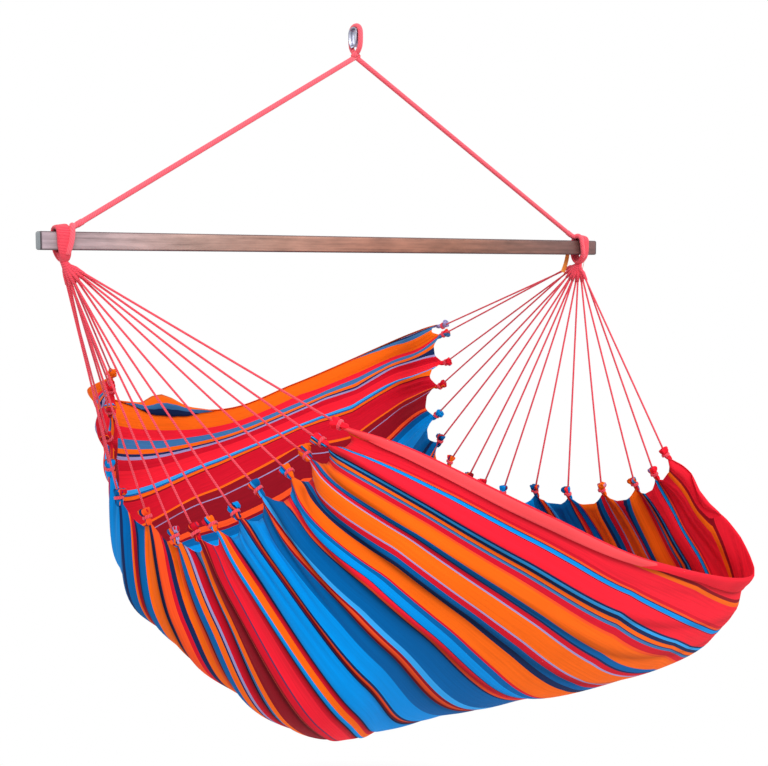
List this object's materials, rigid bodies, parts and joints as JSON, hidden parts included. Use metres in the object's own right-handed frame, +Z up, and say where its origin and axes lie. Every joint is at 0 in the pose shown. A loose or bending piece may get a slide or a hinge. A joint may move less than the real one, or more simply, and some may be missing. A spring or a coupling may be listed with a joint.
{
  "type": "hammock chair",
  "caption": "Hanging hammock chair: striped cotton seat slung by cords from both ends of a wooden spreader bar, which hangs from one rope eye with a metal thimble.",
  "frame": {"origin": "inner top bearing face of the metal thimble, where the hook carries the chair", "axes": "+Z up out of the eye, +X along the spreader bar, +Y towards the back of the seat"},
  "size_m": [1.4455, 1.2098, 1.4109],
  "materials": {
    "thimble": "zinc plated, slightly dull",
    "rope": "laid polyester rope, salmon red",
    "bar_wood": "reddish brown hardwood, oiled",
    "clew_cord": "twisted cotton cord, salmon red",
    "cloth": "woven cotton, stripes in reds, oranges, blues and lilac",
    "ribbon": "plain woven ribbon, orange and yellow"
  },
  "bodies": {
    "hanger": {"thimble": "thimble", "rope_eye": "rope"},
    "bar": {"left_leg_rope": "rope", "right_leg_rope": "rope", "spreader_bar": "bar_wood", "left_bar_loop": "rope", "right_bar_loop": "rope", "label_ribbon": "ribbon"},
    "seat": {"left_clew_head": "clew_cord", "right_clew_head": "clew_cord", "left_cord_01": "clew_cord", "right_cord_01": "clew_cord", "left_cord_02": "clew_cord", "right_cord_02": "clew_cord", "left_cord_03": "clew_cord", "right_cord_03": "clew_cord", "left_cord_04": "clew_cord", "right_cord_04": "clew_cord", "left_cord_05": "clew_cord", "right_cord_05": "clew_cord", "left_cord_06": "clew_cord", "right_cord_06": "clew_cord", "left_cord_07": "clew_cord", "right_cord_07": "clew_cord", "left_cord_08": "clew_cord", "right_cord_08": "clew_cord", "left_cord_09": "clew_cord", "right_cord_09": "clew_cord", "left_cord_10": "clew_cord", "right_cord_10": "clew_cord", "left_cord_11": "clew_cord", "right_cord_11": "clew_cord", "left_cord_12": "clew_cord", "right_cord_12": "clew_cord", "left_cord_13": "clew_cord", "right_cord_13": "clew_cord", "left_cord_14": "clew_cord", "right_cord_14": "clew_cord", "left_cord_15": "clew_cord", "right_cord_15": "clew_cord", "left_cord_16": "clew_cord", "right_cord_16": "clew_cord", "seat_cloth": "cloth"}
  },
  "joints": [
    {"name": "bar_swing", "type": "hinge", "parent": "hanger", "child": "bar", "pos_m": [0, 0, -0.057], "axis": [1, 0, 0], "range_deg": [-25, 25]},
    {"name": "seat_swing", "type": "hinge", "parent": "bar", "child": "seat", "pos_m": [0, 0, -0.4536], "axis": [1, 0, 0], "range_deg": [-25, 25]}
  ]
}
